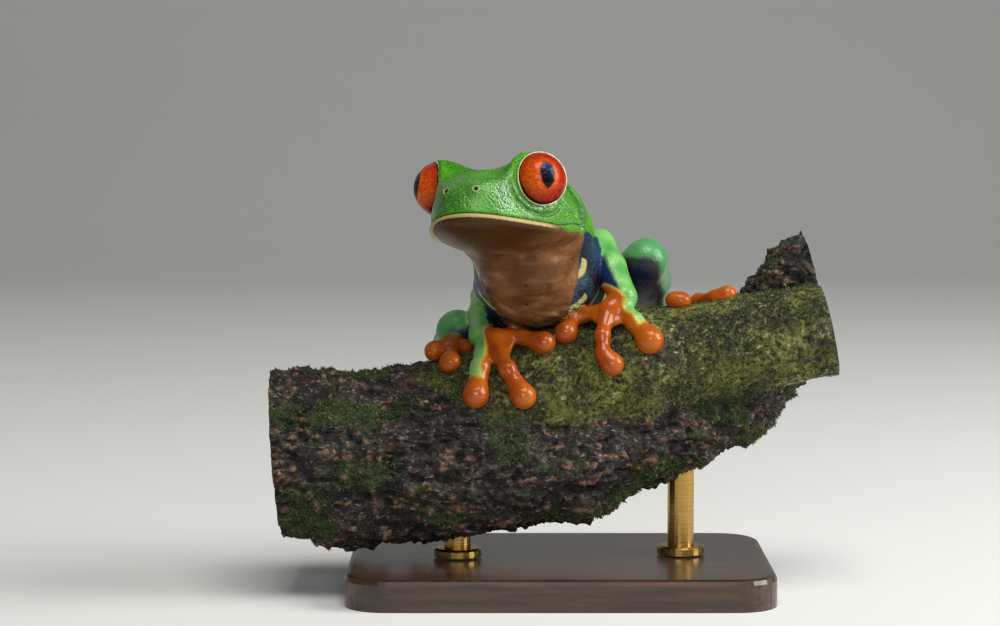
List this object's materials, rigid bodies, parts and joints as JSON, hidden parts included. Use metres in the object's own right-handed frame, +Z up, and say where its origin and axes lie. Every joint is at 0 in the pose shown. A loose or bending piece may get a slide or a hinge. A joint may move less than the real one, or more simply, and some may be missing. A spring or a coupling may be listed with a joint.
{
  "type": "red-eyed tree frog model",
  "caption": "Life-size still model of a red-eyed tree frog gripping a cut length of mossy branch with its head raised, held by a flat wooden base and short brass rods.",
  "frame": {"origin": "middle of the underside of the stand's flat base", "axes": "+Z up; +X along the branch towards its higher end, which is the frog's left; -Y the way the frog sits facing, its body turned 17 degrees and its head 25 degrees towards -X"},
  "size_m": [0.0804, 0.052, 0.063],
  "materials": {
    "skin_green": "moist, finely granular back skin, satin",
    "skin_blue": "smooth moist skin of the upper arms and thighs, satin",
    "skin_orange": "wet, glossy, slightly translucent skin of the hands and feet",
    "eye": "clear wet gloss over a red iris with an upright pupil",
    "bark": "rough bark with moss, matt",
    "stand_wood": "dark stained, satin varnish",
    "stand_brass": "turned and lightly polished"
  },
  "bodies": {
    "root": {"head": "skin_green", "trunk": "skin_green", "forearm_left": "skin_green", "forearm_right": "skin_green", "shank_left": "skin_green", "shank_right": "skin_green", "upper_arm_left": "skin_blue", "upper_arm_right": "skin_blue", "thigh_left": "skin_blue", "thigh_right": "skin_blue", "hand_left": "skin_orange", "hand_right": "skin_orange", "foot_left": "skin_orange", "foot_right": "skin_orange", "eye_left": "eye", "eye_right": "eye", "perch": "bark", "stand_base": "stand_wood", "stand_rod_1": "stand_brass", "stand_rod_2": "stand_brass"}
  },
  "joints": []
}
